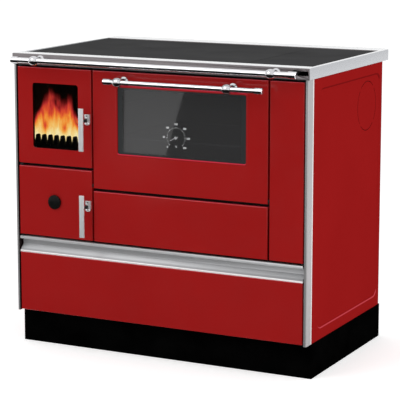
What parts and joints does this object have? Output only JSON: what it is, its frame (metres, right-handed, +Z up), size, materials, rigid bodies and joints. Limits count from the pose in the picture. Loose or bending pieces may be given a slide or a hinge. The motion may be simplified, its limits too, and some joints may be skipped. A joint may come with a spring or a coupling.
{
  "type": "wood-burning cook stove",
  "caption": "Free-standing wood-burning cook stove with a glazed fire door, ash door, glazed oven, hob in a steel frame, safety rail, flue damper and full-width fuel drawer.",
  "frame": {"origin": "on the floor, at the middle of the stove's whole width and depth", "axes": "+X to the right seen from the front, +Y to the back, +Z up"},
  "size_m": [0.92, 0.6514, 0.85],
  "materials": {
    "red_enamel": "gloss enamel",
    "black_enamel": "satin",
    "casing_steel": "matt heat-resistant coating",
    "frame_steel": "brushed",
    "post_aluminium": "anodised",
    "bright_chrome": "polished",
    "hob_iron": "ground and blacked",
    "grate_iron": "as cast",
    "galvanised_steel": "galvanised",
    "firebrick": "rough",
    "fire_glass": "clear ceramic",
    "oven_glass": "tinted",
    "inner_glass": "clear",
    "seal_rope": "braided glass fibre",
    "oven_seal": "braided",
    "black_plastic": "thermoset",
    "dial_metal": "matt"
  },
  "bodies": {
    "stove": {"plinth": "black_enamel", "base_plate": "galvanised_steel", "left_corner_post": "post_aluminium", "right_corner_post": "post_aluminium", "left_side_panel": "red_enamel", "right_side_panel": "red_enamel", "back_panel": "galvanised_steel", "top_frame": "frame_steel", "hob_plate": "hob_iron", "hob_side_plate": "hob_iron", "hob_bridge": "grate_iron", "front_frame": "black_enamel", "latch_strips": "black_enamel", "lower_front_panel": "red_enamel", "right_front_panel": "red_enamel", "left_door_hinges": "black_enamel", "oven_door_hinges": "black_enamel", "safety_rail": "bright_chrome", "rail_brackets": "bright_chrome", "inner_casing": "casing_steel", "firebricks": "firebrick", "fire_grate": "grate_iron", "log_guard": "grate_iron", "ash_pan": "casing_steel", "oven_box": "casing_steel", "oven_rack": "bright_chrome", "flue_partition": "casing_steel", "flue_spigot": "casing_steel", "damper_pivot": "casing_steel", "soot_cover": "casing_steel", "drawer_runners": "galvanised_steel"},
    "fire_door": {"fire_door_panel": "red_enamel", "fire_door_glass": "fire_glass", "fire_door_frame": "grate_iron", "fire_door_seal": "seal_rope", "fire_handle_bracket": "bright_chrome"},
    "fire_door_latch": {"fire_handle": "frame_steel", "fire_latch": "casing_steel"},
    "ash_door": {"ash_door_panel": "red_enamel", "ash_door_liner": "casing_steel", "ash_door_seal": "seal_rope", "ash_handle_bracket": "bright_chrome"},
    "ash_door_latch": {"ash_handle": "frame_steel", "ash_latch": "casing_steel"},
    "air_control": {"air_knob": "black_plastic", "air_shutter": "galvanised_steel"},
    "oven_door": {"oven_door_panel": "red_enamel", "oven_door_glass": "oven_glass", "oven_door_liner": "casing_steel", "oven_inner_glass": "inner_glass", "oven_door_seal": "oven_seal", "oven_handle_bar": "bright_chrome", "oven_handle_brackets": "bright_chrome", "thermometer_body": "dial_metal"},
    "pointer": {"thermometer_pointer": "bright_chrome"},
    "drawer": {"drawer_front": "red_enamel", "drawer_grip": "post_aluminium", "drawer_box": "galvanised_steel"},
    "damper": {"damper_lever": "casing_steel", "damper_knob": "black_plastic"}
  },
  "joints": [
    {"name": "fire_door_hinge", "type": "hinge", "parent": "stove", "child": "fire_door", "pos_m": [-0.438, -0.26525, 0.6735], "axis": [0, 0, -1], "range_deg": [0, 110]},
    {"name": "fire_latch_turn", "type": "hinge", "parent": "fire_door", "child": "fire_door_latch", "pos_m": [-0.2177, -0.27225, 0.6708], "axis": [0, 1, 0], "range_deg": [0, 25]},
    {"name": "ash_door_hinge", "type": "hinge", "parent": "stove", "child": "ash_door", "pos_m": [-0.438, -0.26525, 0.426], "axis": [0, 0, -1], "range_deg": [0, 110]},
    {"name": "ash_latch_turn", "type": "hinge", "parent": "ash_door", "child": "ash_door_latch", "pos_m": [-0.2177, -0.27225, 0.4243], "axis": [0, 1, 0], "range_deg": [0, 25]},
    {"name": "air_control_turn", "type": "hinge", "parent": "ash_door", "child": "air_control", "pos_m": [-0.325, -0.27225, 0.4283], "axis": [0, 1, 0], "range_deg": [0, 30]},
    {"name": "oven_door_hinge", "type": "hinge", "parent": "stove", "child": "oven_door", "pos_m": [0.071, -0.26525, 0.4853], "axis": [1, 0, 0], "range_deg": [0, 90]},
    {"name": "thermometer_turn", "type": "hinge", "parent": "oven_door", "child": "pointer", "pos_m": [0.0635, -0.27225, 0.6395], "axis": [0, 1, 0], "range_deg": [-20, 250]},
    {"name": "drawer_slide", "type": "slide", "parent": "stove", "child": "drawer", "axis": [0, -1, 0], "range_m": [0, 0.4]},
    {"name": "damper_turn", "type": "hinge", "parent": "stove", "child": "damper", "pos_m": [0.412, -0.16425, 0.82], "axis": [0, 0, 1], "range_deg": [0, 12]}
  ]
}
